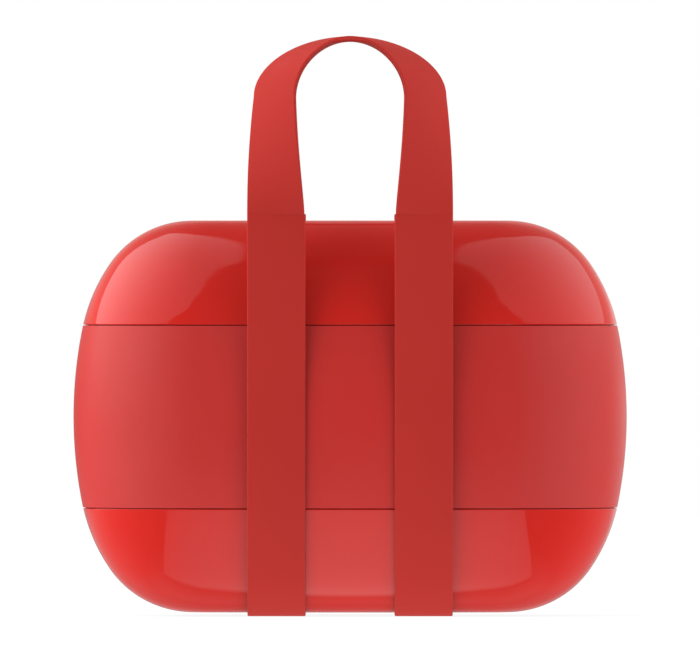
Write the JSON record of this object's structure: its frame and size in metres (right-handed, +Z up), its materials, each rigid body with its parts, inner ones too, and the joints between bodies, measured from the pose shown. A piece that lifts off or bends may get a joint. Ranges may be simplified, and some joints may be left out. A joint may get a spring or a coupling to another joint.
{
  "type": "lunch box",
  "caption": "Stacked lunch box: glossy round-edged bowls above and below a matte tray, inner sealing lids, and a flat rubber strap under the stack that rises into twisted carrying handles.",
  "frame": {"origin": "centre of the part's box at the level it stands on, the underside of the strap bands", "axes": "+Z up; X along the width of the box; front handle and the side seen in the picture towards -Y"},
  "size_m": [0.185, 0.1536, 0.1933],
  "materials": {
    "gloss_shell": "polished moulded polypropylene, red",
    "matte_tray": "fine soft-touch matte moulding, red",
    "inner_lid": "satin moulding, red",
    "strap": "matte elastomer, red",
    "seal": "translucent white silicone"
  },
  "bodies": {
    "strap": {"left_band": "strap", "right_band": "strap"},
    "front_handle": {"front_handle": "strap"},
    "rear_handle": {"rear_handle": "strap"},
    "lower_bowl": {"lower_bowl": "gloss_shell"},
    "lower_lid": {"lower_lid": "inner_lid", "lower_lid_seal": "seal"},
    "middle_tray": {"middle_tray": "matte_tray"},
    "divider": {"middle_divider": "matte_tray"},
    "middle_lid": {"middle_lid": "inner_lid", "middle_lid_seal": "seal"},
    "upper_lid": {"upper_lid": "inner_lid", "upper_lid_seal": "seal"},
    "upper_bowl": {"upper_bowl": "gloss_shell"}
  },
  "joints": [
    {"name": "front_handle_swing", "type": "hinge", "parent": "strap", "child": "front_handle", "pos_m": [0, -0.05833, 0.1342], "axis": [1, 0, 0], "range_deg": [0, 100], "stiffness_Nm_per_rad": 0.02, "springref_deg": -11.46},
    {"name": "rear_handle_swing", "type": "hinge", "parent": "strap", "child": "rear_handle", "pos_m": [0, 0.05833, 0.1342], "axis": [-1, 0, 0], "range_deg": [0, 100], "stiffness_Nm_per_rad": 0.02, "springref_deg": -11.46},
    {"name": "stack_lift", "type": "slide", "parent": "strap", "child": "lower_bowl", "axis": [0, 0, 1], "range_m": [0, 0.2]},
    {"name": "lower_lid_lift", "type": "slide", "parent": "lower_bowl", "child": "lower_lid", "axis": [0, 0, 1], "range_m": [0, 0.05]},
    {"name": "middle_tray_lift", "type": "slide", "parent": "lower_lid", "child": "middle_tray", "axis": [0, 0, 1], "range_m": [0, 0.06]},
    {"name": "divider_lift", "type": "slide", "parent": "middle_tray", "child": "divider", "axis": [0, 0, 1], "range_m": [0, 0.07]},
    {"name": "middle_lid_lift", "type": "slide", "parent": "divider", "child": "middle_lid", "axis": [0, 0, 1], "range_m": [0, 0.05]},
    {"name": "upper_lid_lift", "type": "slide", "parent": "middle_lid", "child": "upper_lid", "axis": [0, 0, 1], "range_m": [0, 0.04]},
    {"name": "upper_bowl_lift", "type": "slide", "parent": "upper_lid", "child": "upper_bowl", "axis": [0, 0, 1], "range_m": [0, 0.06]}
  ]
}
